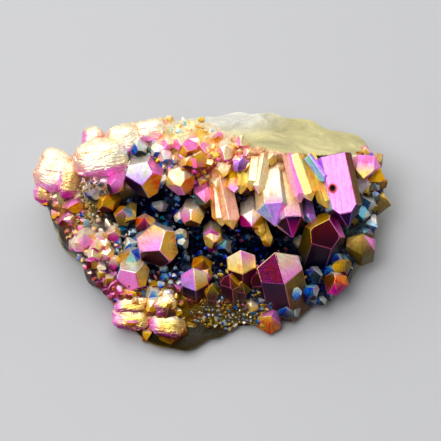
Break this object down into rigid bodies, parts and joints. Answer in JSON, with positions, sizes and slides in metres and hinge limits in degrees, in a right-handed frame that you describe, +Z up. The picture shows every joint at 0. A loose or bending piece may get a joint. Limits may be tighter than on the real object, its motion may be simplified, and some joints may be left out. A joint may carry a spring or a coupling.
{
  "type": "aura quartz cluster",
  "caption": "Chunk of milky quartz lying on its flat back, one face crowded with metal-coated quartz points around a dark hollow, with a bare slab along the far edge.",
  "frame": {"origin": "centre of the cluster's outline on the plane it rests on", "axes": "+X along the cluster's length, +Y from the low front rim toward the bare slab, +Z up; the crystal face leans 30 degrees from level, toward -Y"},
  "size_m": [0.0891, 0.0608, 0.0314],
  "materials": {
    "coated_quartz": "metallic aura coating, gold to magenta to blue, over glossy crystal faces; bare milky quartz on the slab, the lower front and the back"
  },
  "bodies": {
    "root": {"quartz_cluster": "coated_quartz"}
  },
  "joints": []
}
